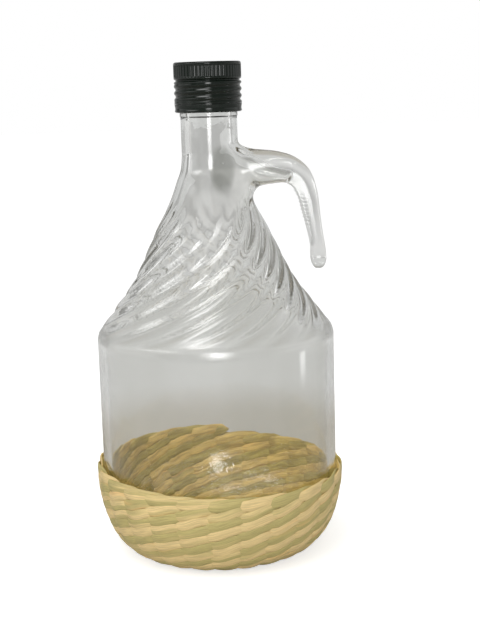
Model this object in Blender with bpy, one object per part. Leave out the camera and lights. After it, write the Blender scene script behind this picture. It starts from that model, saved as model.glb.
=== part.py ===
"""A wicker demijohn: a one-litre handled bottle with spiral ribs, its screw cap and its twined basket."""

import math

import bmesh
import bpy
from mathutils import Vector

# Sizes are in metres. Z points up from the underside of the basket, and the handle points along +X.

# Clearances
FIT_GAP = 0.0003  # between pieces that touch
OVERRUN = 0.002  # how far a cutter runs past the face that it opens

# Bottle body, from its foot up to the shoulder
BODY_RADIUS = 0.0566
BODY_HEIGHT = 0.1018
FOOT_RADIUS = 0.038
HEEL_HEIGHT = 0.036  # the heel is a quarter of an ellipse, as wide as body less foot
BEARING_WIDTH = 0.004
PUNT_RISE = 0.005
GLASS_WALL = 0.0035
BASE_GLASS = 0.0055
BODY_SIDES = 45
HEEL_ROWS = 7
PUNT_SIDES = 9
PUNT_FLAT_SHARE = 0.25  # of the foot's radius
CAVITY_SIDES = 36

# Cone between shoulder and neck: share of its height, and share of the step from neck to body radius
CONE_HEIGHT = 0.0849
CONE_SHARES = [
    (0.0, 1.0),
    (0.038, 0.977),
    (0.104, 0.879),
    (0.196, 0.746),
    (0.276, 0.627),
    (0.367, 0.522),
    (0.469, 0.426),
    (0.589, 0.314),
    (0.698, 0.2),
    (0.77, 0.131),
    (0.867, 0.06),
    (0.925, 0.018),
    (1.0, 0.0),
]

# Spiral ribs on the cone
RIB_COUNT = 18
RIB_SIDES = 5  # faces round one rib
RIB_ROWS = 15
RIB_DEPTH = 0.0014
RIB_LEAN_BOTTOM = 2.6  # run round the cone for each unit of height
RIB_LEAN_TOP = 0.2
RIB_START_ANGLE = math.radians(18)
RIB_END_SHARE = 0.8  # of the cone's height
RIB_FADE_SHARES = (0.015, 0.1, 0.5, 0.78)  # of the cone's height: start, full, full, end

# Neck and finish, from the cone up to the mouth
NECK_RADIUS = 0.0132
NECK_LENGTH = 0.0178
NECK_SIDES = 30
COLLAR_STEP = 0.0004  # collar in from the finish
COLLAR_HEIGHT = 0.0034
BEAD_HEIGHT = 0.0022
BEAD_EDGE_SHARE = 0.3  # of the bead's height, sloped above and below
FINISH_RADIUS = 0.0139
FINISH_HEIGHT = 0.0172  # bead to mouth
THREAD_ROOM = 0.0011  # from the finish out to the bead, which the thread's crests reach too
LIP_EDGE = 0.0008
BORE_RADIUS = 0.0095

# Handle: a hook that leaves the neck level, turns down and ends in a free rounded tip
HANDLE_REACH = 0.0537  # axis of the bottle to the outside of the hook
HANDLE_HEIGHT = 0.0582
HANDLE_RISE = 0.0035  # top of the arm above the cone
ARM_HEIGHT = 0.0161
ARM_DEPTH = 0.016
ARM_WALL = 0.0033  # round the hollow at the root of the arm
HANDLE_SIDES = 14
HANDLE_STEPS = 2  # rings for each stretch between two stations
DUCT_SIDES = 10
DUCT_STATIONS = 6
DUCT_TIP_SHARE = 0.35  # of the hollow's last full width
# Centre along the reach and down the height, then height and depth as shares of the arm's
HANDLE_SHARES = [
    (0.2, 0.805, 1.9, 1.3),
    (0.27, 0.81, 1.55, 1.18),
    (0.35, 0.826, 1.22, 1.08),
    (0.44, 0.832, 1.06, 1.0),
    (0.577, 0.83, 0.94, 0.95),
    (0.69, 0.808, 0.82, 0.88),
    (0.785, 0.742, 0.72, 0.82),
    (0.845, 0.622, 0.6, 0.75),
    (0.872, 0.495, 0.53, 0.7),
    (0.898, 0.35, 0.47, 0.66),
    (0.924, 0.21, 0.44, 0.63),
    (0.932, 0.1, 0.485, 0.63),
    (0.934, 0.034, 0.4, 0.5),
    (0.934, -0.012, 0.16, 0.2),
]

# Screw cap, rolled from sheet round the finish
CAP_WALL = 0.0004
CAP_CLEARANCE = 0.00035
CAP_EDGE = 0.0009
SKIRT_SIDES = 36
KNURL_FACES = 3  # faces of the knurled ring for each face of the skirt
KNURL_START = 0.0014  # below the top of the cap
KNURL_HEIGHT = 0.0055
KNURL_DEPTH = 0.0004
KNURL_RUNOUT = 0.0004
WAIST_START = 0.0006  # below the knurls
WAIST_WIDTH = 0.0018
WAIST_DEPTH = 0.0009
WAIST_ROWS = 6
LINER_THICKNESS = 0.0016
LINER_EDGE = 0.0003

# Tamper band, left on the neck under the cap
BAND_RISE = 0.00065  # above the glass bead
BAND_TUCK = 0.001  # below the glass bead
BAND_CURL = 0.0006  # gap from the curled edge to the neck

# Basket, twined up round the bottle in one long spiral of rows
WEAVE_THICKNESS = 0.0029
WEAVE_ROW = 0.0046
WEAVE_CROWN = 0.001
WEAVE_LEAN = 2.8  # run round the basket for each unit of climb
WEAVE_SHARP_ANGLE = math.radians(75)
BASE_THICKNESS = 0.003
BASE_EDGE = 0.0006
BASE_SIDES = 48
STAKE_COUNT = 29
WALL_ROWS = 12
LINING_ROWS = 7
RIM_HEIGHT = 0.0394  # where the top row starts
ROW_END_ANGLE = math.radians(84)
ROW_START_SHARE = 0.018  # of a turn, in which the top row grows to its full height
ROW_TIP_SHARE = 0.6  # of that stretch, where the row is first thick enough to stand by itself
CLIMB_SHARES = (0.38, 0.8)  # of a turn, between which the rim climbs by one row
RIM_CORNER_SHARE = 0.3  # of the top row's height

GLASS = (0.86, 0.89, 0.88)
BLACK = (0.012, 0.012, 0.014)
LINER_WHITE = (0.8, 0.8, 0.77)
STRAW = (0.5, 0.39, 0.17)
PALE_STRAW = (0.62, 0.48, 0.22)

foot_height = BASE_THICKNESS + FIT_GAP
heel_height = foot_height + HEEL_HEIGHT
shoulder_height = foot_height + BODY_HEIGHT
cone_top = shoulder_height + CONE_HEIGHT
collar_height = cone_top + NECK_LENGTH
bead_height = collar_height + COLLAR_HEIGHT
bead_top = bead_height + BEAD_HEIGHT
mouth_height = bead_top + FINISH_HEIGHT
collar_radius = FINISH_RADIUS - COLLAR_STEP
bead_radius = FINISH_RADIUS + THREAD_ROOM
cap_inside = bead_radius + CAP_CLEARANCE
cap_radius = cap_inside + CAP_WALL
liner_height = mouth_height + FIT_GAP
cap_ceiling = liner_height + LINER_THICKNESS + FIT_GAP
cap_top = cap_ceiling + CAP_WALL
knurl_top = cap_top - KNURL_START
knurl_foot = knurl_top - KNURL_HEIGHT
waist_top = knurl_foot - WAIST_START
band_top = bead_top + BAND_RISE
band_foot = bead_height - BAND_TUCK
skirt_height = band_top + FIT_GAP
lining_radius = BODY_RADIUS + FIT_GAP
basket_radius = lining_radius + WEAVE_THICKNESS


def clear_scene():
    for thing in list(bpy.data.objects):
        bpy.data.objects.remove(thing, do_unlink=True)


def finish_material(name, colour, roughness, metallic=0.0, transmission=0.0):
    material = bpy.data.materials.new(name)
    material.use_nodes = True
    shader = material.node_tree.nodes["Principled BSDF"]
    shader.inputs["Base Color"].default_value = (*colour, 1.0)
    shader.inputs["Roughness"].default_value = roughness
    shader.inputs["Metallic"].default_value = metallic
    shader.inputs["Transmission Weight"].default_value = transmission
    material.diffuse_color = (*colour, 1.0)
    return material


def make_object(name, mesh, material=None, sharp=math.radians(40)):
    """Turns a closed bmesh into an object. Without a material it is a cutter, which no picture shows."""
    bmesh.ops.recalc_face_normals(mesh, faces=mesh.faces)
    data = bpy.data.meshes.new(name)
    mesh.to_mesh(data)
    mesh.free()
    data.shade_smooth()
    data.set_sharp_from_angle(angle=sharp)
    thing = bpy.data.objects.new(name, data)
    bpy.context.scene.collection.objects.link(thing)
    if material is None:
        thing.hide_render = True
        thing.display_type = "WIRE"
    else:
        data.materials.append(material)
    return thing


def add_boolean(target, operation, tool):
    modifier = target.modifiers.new(f"{operation.lower()}_{tool.name}", "BOOLEAN")
    modifier.operation = operation
    modifier.solver = "EXACT"
    modifier.object = tool


def add_ring(mesh, sides, radius, height, start=0.0):
    """A ring round the bottle's axis. Its radius is a number, or a rule of the angle."""
    ring = []
    for side in range(sides):
        angle = start + math.tau * side / sides
        far = radius(angle) if callable(radius) else radius
        ring.append(mesh.verts.new((far * math.cos(angle), far * math.sin(angle), height)))
    return ring


def join_even(mesh, lower, upper):
    """Two triangles for each side, split along the shorter diagonal so that leaning ribs stay sharp."""
    count = len(lower)
    for side in range(count):
        after = (side + 1) % count
        a, b, c, d = lower[side], lower[after], upper[after], upper[side]
        if (a.co - c.co).length < (b.co - d.co).length:
            mesh.faces.new((a, b, c))
            mesh.faces.new((a, c, d))
        else:
            mesh.faces.new((a, b, d))
            mesh.faces.new((b, c, d))


def join_rings(mesh, lower, upper):
    """Joins two rings, where one may have a whole number of times the sides of the other."""
    if len(lower) == len(upper):
        join_even(mesh, lower, upper)
        return
    fine, coarse = (lower, upper) if len(lower) > len(upper) else (upper, lower)
    ratio = len(fine) // len(coarse)
    middle = ratio // 2
    for side, corner in enumerate(coarse):
        following = coarse[(side + 1) % len(coarse)]
        edge = [fine[(side * ratio + step) % len(fine)] for step in range(ratio + 1)]
        for step in range(ratio):
            mesh.faces.new((edge[step], edge[step + 1], corner if step < middle else following))
        mesh.faces.new((corner, edge[middle], following))


def loft(mesh, rings, capped=True):
    for lower, upper in zip(rings, rings[1:]):
        join_rings(mesh, lower, upper)
    if capped:
        mesh.faces.new(rings[0])
        mesh.faces.new(rings[-1])


def smooth_between(points, steps):
    """Points of any length, with a smooth curve through them: the points themselves and some between."""
    ends = [points[0], *points, points[-1]]
    curve = []
    for before, first, last, after in zip(ends, ends[1:], ends[2:], ends[3:]):
        for step in range(steps):
            t = step / steps
            curve.append(tuple(blend_four(t, *values) for values in zip(before, first, last, after)))
    curve.append(tuple(points[-1]))
    return curve


def blend_four(t, before, first, last, after):
    slope_in = (last - before) / 2
    slope_out = (after - first) / 2
    rise = last - first
    bend = 3 * rise - 2 * slope_in - slope_out
    twist = slope_in + slope_out - 2 * rise
    return first + t * (slope_in + t * (bend + t * twist))


def ease(share):
    share = min(max(share, 0.0), 1.0)
    return share * share * (3 - 2 * share)


def read_table(table, place):
    """The value at this place of a table that is smooth between its rows."""
    for row in range(len(table) - 1):
        if place <= table[row + 1][0]:
            break
    before = table[max(row - 1, 0)]
    after = table[min(row + 2, len(table) - 1)]
    first, last = table[row], table[row + 1]
    span = last[0] - first[0]
    slope_in = (last[1] - before[1]) / (last[0] - before[0]) * span
    slope_out = (after[1] - first[1]) / (after[0] - first[0]) * span
    t = (place - first[0]) / span
    rise = last[1] - first[1]
    bend = 3 * rise - 2 * slope_in - slope_out
    twist = slope_in + slope_out - 2 * rise
    return first[1] + t * (slope_in + t * (bend + t * twist))


def cone_radius(share):
    return NECK_RADIUS + (BODY_RADIUS - NECK_RADIUS) * read_table(CONE_SHARES, share)


def rib_fade(share):
    start, full, still_full, end = RIB_FADE_SHARES
    return ease((share - start) / (full - start)) * ease((end - share) / (end - still_full))


def rib_radius(share, column):
    """The crests keep to the cone, and the valleys between them go down by the ribs' depth."""
    valley = (1 - math.cos(math.tau * column / RIB_SIDES)) / 2
    return cone_radius(share) - RIB_DEPTH * valley * rib_fade(share)


def heel_points(start_height, top_height, side_radius, rows):
    """Radius and height up a quarter of an ellipse, from the foot to the side."""
    points = []
    for row in range(rows + 1):
        turn = math.pi / 2 * row / rows
        radius = FOOT_RADIUS + (side_radius - FOOT_RADIUS) * math.sin(turn)
        points.append((radius, top_height - (top_height - start_height) * math.cos(turn)))
    return points


def bottle_outside(mesh):
    rings = [
        add_ring(mesh, PUNT_SIDES, FOOT_RADIUS * PUNT_FLAT_SHARE, foot_height + PUNT_RISE, RIB_START_ANGLE),
        add_ring(mesh, BODY_SIDES, FOOT_RADIUS - BEARING_WIDTH, foot_height, RIB_START_ANGLE),
    ]
    for radius, height in heel_points(foot_height, heel_height, BODY_RADIUS, HEEL_ROWS):
        rings.append(add_ring(mesh, BODY_SIDES, radius, height, RIB_START_ANGLE))
    twist = 0.0
    last_height = shoulder_height
    for row in range(RIB_ROWS + 1):
        share = RIB_END_SHARE * row / RIB_ROWS
        height = shoulder_height + CONE_HEIGHT * share
        lean = RIB_LEAN_BOTTOM + (RIB_LEAN_TOP - RIB_LEAN_BOTTOM) * row / RIB_ROWS
        twist += lean * (height - last_height) / cone_radius(share)
        last_height = height
        ring = []
        for column in range(RIB_COUNT * RIB_SIDES):
            angle = RIB_START_ANGLE + twist + math.tau * column / (RIB_COUNT * RIB_SIDES)
            radius = rib_radius(share, column)
            ring.append(mesh.verts.new((radius * math.cos(angle), radius * math.sin(angle), height)))
        rings.append(ring)
    start = RIB_START_ANGLE + twist
    for share, _ in CONE_SHARES:
        if share > RIB_END_SHARE:
            rings.append(
                add_ring(mesh, NECK_SIDES, cone_radius(share), shoulder_height + CONE_HEIGHT * share, start)
            )
    bead_edge = BEAD_HEIGHT * BEAD_EDGE_SHARE
    neck = [
        (NECK_RADIUS, collar_height),
        (collar_radius, collar_height + LIP_EDGE),
        (collar_radius, bead_height),
        (bead_radius, bead_height + bead_edge),
        (bead_radius, bead_top - bead_edge),
        (FINISH_RADIUS, bead_top),
        (FINISH_RADIUS, mouth_height - LIP_EDGE),
        (FINISH_RADIUS - LIP_EDGE, mouth_height),
    ]
    for radius, height in neck:
        rings.append(add_ring(mesh, NECK_SIDES, radius, height, start))
    loft(mesh, rings)


def bottle_cavity():
    """The inside of the bottle, a smooth shape one wall in from the cone's crests, open past the mouth."""
    mesh = bmesh.new()
    floor = foot_height + BASE_GLASS
    rings = [add_ring(mesh, PUNT_SIDES, FOOT_RADIUS * PUNT_FLAT_SHARE, floor + PUNT_RISE)]
    for radius, height in heel_points(floor, heel_height, BODY_RADIUS - GLASS_WALL, HEEL_ROWS - 1):
        rings.append(add_ring(mesh, CAVITY_SIDES, radius, height))
    shares = [share for share, _ in CONE_SHARES]
    for share, following in zip(shares, shares[1:]):
        middle = (share + following) / 2
        run = cone_radius(share) - cone_radius(following)
        climb = CONE_HEIGHT * (following - share)
        length = math.hypot(run, climb)
        radius = max(cone_radius(middle) - GLASS_WALL * climb / length, BORE_RADIUS)
        height = shoulder_height + CONE_HEIGHT * middle - GLASS_WALL * run / length
        rings.append(add_ring(mesh, CAVITY_SIDES, radius, height))
    rings.append(add_ring(mesh, CAVITY_SIDES, BORE_RADIUS, cone_top))
    rings.append(add_ring(mesh, CAVITY_SIDES, BORE_RADIUS, mouth_height + OVERRUN))
    loft(mesh, rings)
    return make_object("cavity_cutter", mesh)


def handle_stations(inset=0.0):
    """Centre x and z, half height and half depth at each station of the hook."""
    lowest = cone_top + HANDLE_RISE - HANDLE_HEIGHT
    stations = []
    for reach_share, height_share, thick_share, depth_share in HANDLE_SHARES:
        centre_x = HANDLE_REACH * reach_share
        centre_z = lowest + HANDLE_HEIGHT * height_share
        half_height = ARM_HEIGHT * thick_share / 2 - inset
        half_depth = ARM_DEPTH * depth_share / 2 - inset
        stations.append((centre_x, centre_z, half_height, half_depth))
    return stations


def hook_loft(mesh, stations, sides):
    """Oval rings square to the hook's centre line."""
    rings = []
    for number, (x, z, half_height, half_depth) in enumerate(stations):
        before = stations[max(number - 1, 0)]
        after = stations[min(number + 1, len(stations) - 1)]
        along = Vector((after[0] - before[0], 0.0, after[1] - before[1])).normalized()
        across = Vector((-along.z, 0.0, along.x))
        ring = []
        for side in range(sides):
            angle = math.tau * side / sides
            offset = across * (half_height * math.cos(angle))
            offset += Vector((0.0, half_depth * math.sin(angle), 0.0))
            ring.append(mesh.verts.new(Vector((x, 0.0, z)) + offset))
        rings.append(ring)
    loft(mesh, rings)


def handle_hook():
    mesh = bmesh.new()
    hook_loft(mesh, smooth_between(handle_stations(), HANDLE_STEPS), HANDLE_SIDES)
    return make_object("handle_hook", mesh)


def handle_duct():
    """The hollow that the neck blows into the root of the arm, with a rounded end."""
    mesh = bmesh.new()
    stations = handle_stations(ARM_WALL)[:DUCT_STATIONS]
    first, last = stations[0], stations[-1]
    stations[0] = (0.0, first[1], last[2], last[3])
    stations[-1] = (last[0], last[1], last[2] * DUCT_TIP_SHARE, last[3] * DUCT_TIP_SHARE)
    hook_loft(mesh, smooth_between(stations, HANDLE_STEPS), DUCT_SIDES)
    return make_object("duct_cutter", mesh)


def glass_bottle():
    mesh = bmesh.new()
    bottle_outside(mesh)
    glass = finish_material("clear_glass", GLASS, 0.02, transmission=1.0)
    bottle = make_object("glass_bottle", mesh, glass)
    add_boolean(bottle, "UNION", handle_hook())
    add_boolean(bottle, "DIFFERENCE", handle_duct())
    add_boolean(bottle, "DIFFERENCE", bottle_cavity())
    return bottle


def waist_points():
    """Depth and height down the groove under the knurls, and then down to the skirt's foot."""
    points = []
    for row in range(WAIST_ROWS + 1):
        dip = (1 - math.cos(math.tau * row / WAIST_ROWS)) / 2
        points.append((WAIST_DEPTH * dip, waist_top - WAIST_WIDTH * row / WAIST_ROWS))
    return [*points, (0.0, skirt_height)]


def cap_shell():
    mesh = bmesh.new()
    knurl_sides = SKIRT_SIDES * KNURL_FACES
    rings = []
    for turn in (0.0, math.pi / 6, math.pi / 3, math.pi / 2):
        radius = cap_radius - CAP_EDGE * (1 - math.sin(turn))
        rings.append(add_ring(mesh, SKIRT_SIDES, radius, cap_top - CAP_EDGE * (1 - math.cos(turn))))

    def knurl(angle):
        tooth = round(angle / math.tau * knurl_sides) % 2
        return cap_radius - KNURL_DEPTH * tooth

    rings.append(add_ring(mesh, knurl_sides, cap_radius, knurl_top))
    rings.append(add_ring(mesh, knurl_sides, knurl, knurl_top - KNURL_RUNOUT))
    rings.append(add_ring(mesh, knurl_sides, knurl, knurl_foot + KNURL_RUNOUT))
    rings.append(add_ring(mesh, knurl_sides, cap_radius, knurl_foot))
    for dip, height in waist_points():
        rings.append(add_ring(mesh, SKIRT_SIDES, cap_radius - dip, height))
    for dip, height in reversed(waist_points()):
        rings.append(add_ring(mesh, SKIRT_SIDES, cap_inside - dip, height))
    rings.append(add_ring(mesh, SKIRT_SIDES, cap_inside - KNURL_DEPTH, knurl_foot))
    rings.append(add_ring(mesh, SKIRT_SIDES, cap_inside - KNURL_DEPTH, cap_ceiling))
    loft(mesh, rings)
    return make_object("cap_shell", mesh, finish_material("black_cap", BLACK, 0.22, metallic=0.5))


def cap_liner():
    mesh = bmesh.new()
    radius = cap_inside - KNURL_DEPTH - FIT_GAP
    top = liner_height + LINER_THICKNESS
    outline = [
        (radius - LINER_EDGE, liner_height),
        (radius, liner_height + LINER_EDGE),
        (radius, top - LINER_EDGE),
        (radius - LINER_EDGE, top),
    ]
    loft(mesh, [add_ring(mesh, SKIRT_SIDES, far, height) for far, height in outline])
    return make_object("cap_liner", mesh, finish_material("liner", LINER_WHITE, 0.6))


def tamper_band():
    """A plain ring whose lower edge is curled in under the glass bead."""
    mesh = bmesh.new()
    curl_radius = collar_radius + BAND_CURL
    outline = [
        (cap_radius, band_top),
        (cap_radius, band_foot + CAP_WALL * 2),
        (cap_radius - CAP_WALL, band_foot + CAP_WALL / 2),
        (cap_radius - CAP_WALL * 2, band_foot),
        (curl_radius, band_foot),
        (curl_radius, band_foot + CAP_WALL),
        (cap_inside - CAP_WALL, band_foot + CAP_WALL),
        (cap_inside, band_foot + CAP_WALL * 2),
        (cap_inside, band_top),
    ]
    rings = [add_ring(mesh, SKIRT_SIDES, far, height) for far, height in outline]
    loft(mesh, rings, capped=False)
    join_rings(mesh, rings[-1], rings[0])
    return make_object("tamper_band", mesh, finish_material("black_band", BLACK, 0.22, metallic=0.5))


def turn_share(angle):
    """Share of a turn from the end of the top row, going round clockwise as seen from above."""
    return (ROW_END_ANGLE - angle) / math.tau % 1.0


def rim_height(share):
    first, last = CLIMB_SHARES
    return RIM_HEIGHT + WEAVE_ROW * ease((share - first) / (last - first))


def wall_top(share):
    """The wall under the top row: level with the row's start where the turn begins, then a row lower."""
    return rim_height(share) - WEAVE_ROW * min(share / ROW_START_SHARE, 1.0)


def ellipse_radius(side_radius, start_height, height):
    drop = max(heel_height - height, 0.0) / (heel_height - start_height)
    return FOOT_RADIUS + (side_radius - FOOT_RADIUS) * math.sqrt(max(1 - drop * drop, 0.0))


def wall_angles():
    return [math.tau * side / (STAKE_COUNT * 2) for side in range(STAKE_COUNT * 2)]


def weave_twists(top):
    """How far the bands of stitches have run round the basket at each row of the wall."""
    points = heel_points(0.0, top, basket_radius, WALL_ROWS)
    twists = [0.0]
    for (near, low), (far, high) in zip(points, points[1:]):
        middle_radius = (near + far) / 2
        twists.append(twists[-1] + WEAVE_LEAN * math.hypot(far - near, high - low) / middle_radius)
    return twists


def basket_wall():
    """The woven side, whose stitches lean into bands that climb round it."""
    mesh = bmesh.new()
    tops = [wall_top(turn_share(angle)) for angle in wall_angles()]
    twists = weave_twists(sum(tops) / len(tops))
    rings = []
    for row in range(WALL_ROWS + 1):
        climb = 1 - math.cos(math.pi / 2 * row / WALL_ROWS)
        ring = []
        for side, (angle, top) in enumerate(zip(wall_angles(), tops)):
            turned = angle + twists[row] - twists[-1]
            height = top * climb
            dip = WEAVE_CROWN * (side % 2) if row else 0.0
            radius = ellipse_radius(basket_radius, 0.0, height) - dip
            ring.append(mesh.verts.new((radius * math.cos(turned), radius * math.sin(turned), height)))
        rings.append(ring)
    for row in range(LINING_ROWS + 1):
        climb = 1 - math.cos(math.pi / 2 * (1 - row / LINING_ROWS))
        ring = []
        for angle, top in zip(wall_angles(), tops):
            height = BASE_THICKNESS + (top - BASE_THICKNESS) * climb
            radius = ellipse_radius(lining_radius, BASE_THICKNESS, height)
            ring.append(mesh.verts.new((radius * math.cos(angle), radius * math.sin(angle), height)))
        rings.append(ring)
    loft(mesh, rings, capped=False)
    shift = round(twists[-1] / math.tau * len(tops)) % len(tops)
    join_rings(mesh, rings[-1], rings[0][shift:] + rings[0][:shift])
    return make_object("basket_wall", mesh, finish_material("straw_wall", STRAW, 0.7), WEAVE_SHARP_ANGLE)


def basket_top_row():
    """The last turn of the weave: it grows out of the wall, climbs by one row and ends in a step."""
    mesh = bmesh.new()
    shares = sorted(turn_share(angle) for angle in wall_angles())
    shares = [share for share in shares if share > ROW_START_SHARE]
    shares = [ROW_START_SHARE * ROW_TIP_SHARE, *shares[:-1], 1 - FIT_GAP / (math.tau * basket_radius)]
    rings = []
    for share in shares:
        angle = ROW_END_ANGLE - math.tau * share
        low = wall_top(share) + FIT_GAP
        high = rim_height(share)
        corner = (high - low) * RIM_CORNER_SHARE
        inset = min(corner, WEAVE_THICKNESS * RIM_CORNER_SHARE)
        outline = [
            (lining_radius, low),
            (basket_radius - inset, low),
            (basket_radius, low + corner),
            (basket_radius, high - corner),
            (basket_radius - inset, high),
            (lining_radius + inset, high),
            (lining_radius, high - corner),
        ]
        ring = []
        for far, height in outline:
            ring.append(mesh.verts.new((far * math.cos(angle), far * math.sin(angle), height)))
        rings.append(ring)
    loft(mesh, rings)
    material = finish_material("straw_top", PALE_STRAW, 0.7)
    return make_object("basket_top_row", mesh, material, WEAVE_SHARP_ANGLE)


def basket_base():
    mesh = bmesh.new()
    radius = FOOT_RADIUS - FIT_GAP
    outline = [
        (radius - BASE_EDGE, 0.0),
        (radius, BASE_EDGE),
        (radius, BASE_THICKNESS - BASE_EDGE),
        (radius - BASE_EDGE, BASE_THICKNESS),
    ]
    loft(mesh, [add_ring(mesh, BASE_SIDES, far, height) for far, height in outline])
    return make_object("basket_base", mesh, finish_material("straw_base", STRAW, 0.75))


def build():
    clear_scene()
    glass_bottle()
    turning = bpy.data.objects.new("cap_axis", None)
    turning.location = (0.0, 0.0, mouth_height)
    bpy.context.scene.collection.objects.link(turning)
    for piece in (cap_shell(), cap_liner()):
        piece.parent = turning
        piece.location = -turning.location
    tamper_band()
    basket_base()
    basket_wall()
    basket_top_row()


build()
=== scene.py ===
import math

import bmesh
import bpy
from mathutils import Matrix, Vector


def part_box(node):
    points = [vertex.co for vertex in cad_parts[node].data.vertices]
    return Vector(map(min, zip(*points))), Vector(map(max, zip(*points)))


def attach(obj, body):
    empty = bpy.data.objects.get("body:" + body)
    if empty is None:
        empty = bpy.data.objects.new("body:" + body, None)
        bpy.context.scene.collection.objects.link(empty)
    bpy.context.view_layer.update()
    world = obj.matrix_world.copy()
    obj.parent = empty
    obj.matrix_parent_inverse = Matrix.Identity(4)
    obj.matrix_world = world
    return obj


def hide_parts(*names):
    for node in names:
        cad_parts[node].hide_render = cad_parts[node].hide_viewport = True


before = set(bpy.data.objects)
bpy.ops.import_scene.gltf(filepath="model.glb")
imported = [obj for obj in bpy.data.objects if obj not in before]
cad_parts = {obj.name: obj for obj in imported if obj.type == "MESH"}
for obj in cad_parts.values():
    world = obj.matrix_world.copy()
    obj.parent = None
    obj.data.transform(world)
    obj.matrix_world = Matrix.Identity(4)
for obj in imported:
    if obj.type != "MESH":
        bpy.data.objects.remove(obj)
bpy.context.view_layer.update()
print("frame loaded:", len(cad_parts), "nodes")


# A socket that Python's signs work on
class Wire:
    def __init__(self, sheet, socket):
        self.sheet = sheet
        self.socket = socket

    def sum(self, operation, other=0.0, turned=False):
        pair = {0: other, 1: self} if turned else {0: self, 1: other}
        return self.sheet.add("ShaderNodeMath", pair, operation=operation)

    def __add__(self, other):
        return self.sum("ADD", other)

    def __radd__(self, other):
        return self.sum("ADD", other, True)

    def __sub__(self, other):
        return self.sum("SUBTRACT", other)

    def __rsub__(self, other):
        return self.sum("SUBTRACT", other, True)

    def __mul__(self, other):
        return self.sum("MULTIPLY", other)

    def __rmul__(self, other):
        return self.sum("MULTIPLY", other, True)

    def __truediv__(self, other):
        return self.sum("DIVIDE", other)

    def __rtruediv__(self, other):
        return self.sum("DIVIDE", other, True)

    def __pow__(self, other):
        return self.sum("POWER", other)

    def __neg__(self):
        return self.sum("MULTIPLY", -1.0)


# A node tree, of a material or of Geometry Nodes
class Sheet:
    def __init__(self, tree):
        self.tree = tree

    def add(self, kind, sockets=None, out=0, **settings):
        node = self.tree.nodes.new(kind)
        for name, value in settings.items():
            setattr(node, name, value)
        self.fill(node, sockets or {})
        return Wire(self, node.outputs[out])

    def fill(self, node, sockets):
        for name, value in sockets.items():
            self.plug(node.inputs[name], value)

    # Ends the tree in an output node of this kind
    def end(self, kind, wire):
        self.plug(self.tree.nodes.new(kind).inputs[0], wire)

    # What the light path says of the ray
    def rays(self, *names):
        path = self.tree.nodes.new("ShaderNodeLightPath")
        return [Wire(self, path.outputs[name]) for name in names]

    def parts(self, value):
        node = self.tree.nodes.new("ShaderNodeSeparateXYZ")
        self.plug(node.inputs[0], value)
        return [Wire(self, socket) for socket in node.outputs]

    def joined(self, x=0.0, y=0.0, z=0.0):
        return self.add("ShaderNodeCombineXYZ", {0: x, 1: y, 2: z})

    def scaled(self, value, factor):
        return self.add("ShaderNodeVectorMath", {0: value, 1: factor}, operation="MULTIPLY")

    def bump(self, height):
        return self.add("ShaderNodeBump", {"Strength": 1.0, "Distance": 1.0, "Height": height})

    def noise(self, place, scale, detail=2.0, roughness=0.5):
        sockets = {"Vector": place, "Scale": scale, "Detail": detail, "Roughness": roughness}
        return self.add("ShaderNodeTexNoise", sockets)

    def plug(self, socket, value):
        if isinstance(value, Wire):
            self.tree.links.new(value.socket, socket)
        else:
            socket.default_value = value

    def sine(self, value):
        return self.add("ShaderNodeMath", {0: value}, operation="SINE")

    def cosine(self, value):
        return self.add("ShaderNodeMath", {0: value}, operation="COSINE")

    def smooth(self, value, start, end, low=0.0, high=1.0):
        sockets = {"Value": value, "From Min": start, "From Max": end, "To Min": low, "To Max": high}
        return self.add("ShaderNodeMapRange", sockets, interpolation_type="SMOOTHSTEP")

    # From the first colour to the second: each is a wire, or red, green and blue
    def blend(self, factor, first, second):
        first, second = ((*tone, 1.0) if isinstance(tone, tuple) else tone for tone in (first, second))
        sockets = {"Factor": factor, 6: first, 7: second}
        return self.add("ShaderNodeMix", sockets, out=2, data_type="RGBA")

    def grey(self, value):
        return self.blend(value, (0.0, 0.0, 0.0), (1.0, 1.0, 1.0))


# Helpers for meshes


# From 0 at the start to 1 at the end, smooth at both
def easeShare(value, start=0.0, end=1.0):
    share = min(max((value - start) / (end - start), 0.0), 1.0)
    return share * share * (3 - 2 * share)


def evenSteps(start, end, step):
    count = max(round(abs(end - start) / step), 1)
    return [start + (end - start) * number / count for number in range(count + 1)]


# Radius and height along a straight wall, after its start
def wallRows(far, start, end, step):
    return [(far, height) for height in evenSteps(start, end, step)[1:]]


# Radius and height round a quarter of an oval, at shares from 0 at its top or foot to 1 at its side
def quarter(far, height, wide, high, shares):
    turns = [math.pi / 2 * share for share in shares]
    return [(far + wide * math.sin(turn), height + high * math.cos(turn)) for turn in turns]


# A table that is smooth between its rows, each a place and one or more values
def readTable(table, place):
    row = 0
    while row < len(table) - 2 and place > table[row + 1][0]:
        row += 1
    before, first = table[max(row - 1, 0)], table[row]
    last, after = table[row + 1], table[min(row + 2, len(table) - 1)]
    span = last[0] - first[0]
    t = min(max((place - first[0]) / span, 0.0), 1.0)
    values = []
    for column in range(1, len(first)):
        slopeIn = (last[column] - before[column]) / (last[0] - before[0]) * span
        slopeOut = (after[column] - first[column]) / (after[0] - first[0]) * span
        rise = last[column] - first[column]
        bend = 3 * rise - 2 * slopeIn - slopeOut
        twist = slopeIn + slopeOut - 2 * rise
        values.append(first[column] + t * (slopeIn + t * (bend + t * twist)))
    return values


def addObject(name, data):
    made = bpy.data.objects.new(name, data)
    bpy.context.scene.collection.objects.link(made)
    return made


def pieceFrom(name, mesh, material=None, smoothAngle=None):
    built = bpy.data.meshes.new(name)
    mesh.to_mesh(built)
    mesh.free()
    if material:
        built.materials.append(material)
    built.shade_smooth()
    if smoothAngle:
        built.set_sharp_from_angle(angle=smoothAngle)
    return addObject(name, built)


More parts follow.
